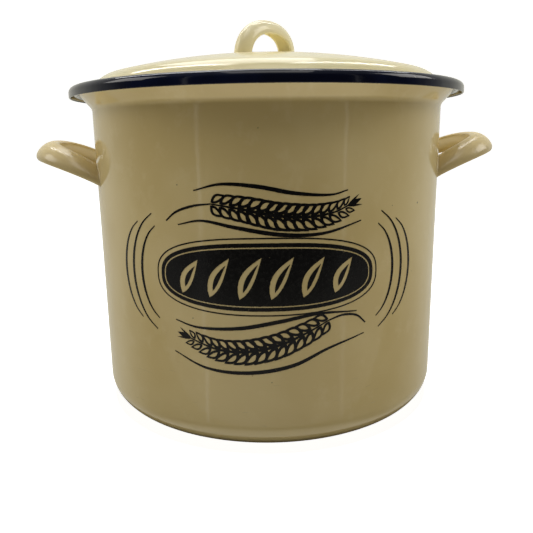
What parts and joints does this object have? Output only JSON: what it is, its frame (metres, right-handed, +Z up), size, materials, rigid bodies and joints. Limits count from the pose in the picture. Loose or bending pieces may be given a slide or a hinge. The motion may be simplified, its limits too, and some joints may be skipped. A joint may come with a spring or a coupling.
{
  "type": "bread bin",
  "caption": "Round enamelled steel bread bin with two side handles and a domed lift-off lid with a loop handle.",
  "frame": {"origin": "centre of the base, on the surface the bin stands on", "axes": "+Z up, +X through the right-hand side handle, -Y out of the decorated front"},
  "size_m": [0.3624, 0.3014, 0.2946],
  "materials": {
    "cream_enamel": "glossy vitreous enamel on pressed steel, cream, with a slight flow in the gloss",
    "navy_enamel": "glossy vitreous enamel on pressed steel, near-black navy",
    "print_ink": "black ceramic transfer fired onto the cream enamel, satin gloss"
  },
  "bodies": {
    "pot": {"pot_shell": "cream_enamel", "pot_rim": "navy_enamel", "handle_left": "cream_enamel", "handle_right": "cream_enamel"},
    "lid": {"lid_dome": "cream_enamel", "lid_rim": "navy_enamel", "lid_handle": "cream_enamel"}
  },
  "joints": [
    {"name": "lid_lift", "type": "slide", "parent": "pot", "child": "lid", "axis": [0, 0, 1], "range_m": [0, 0.25]}
  ]
}
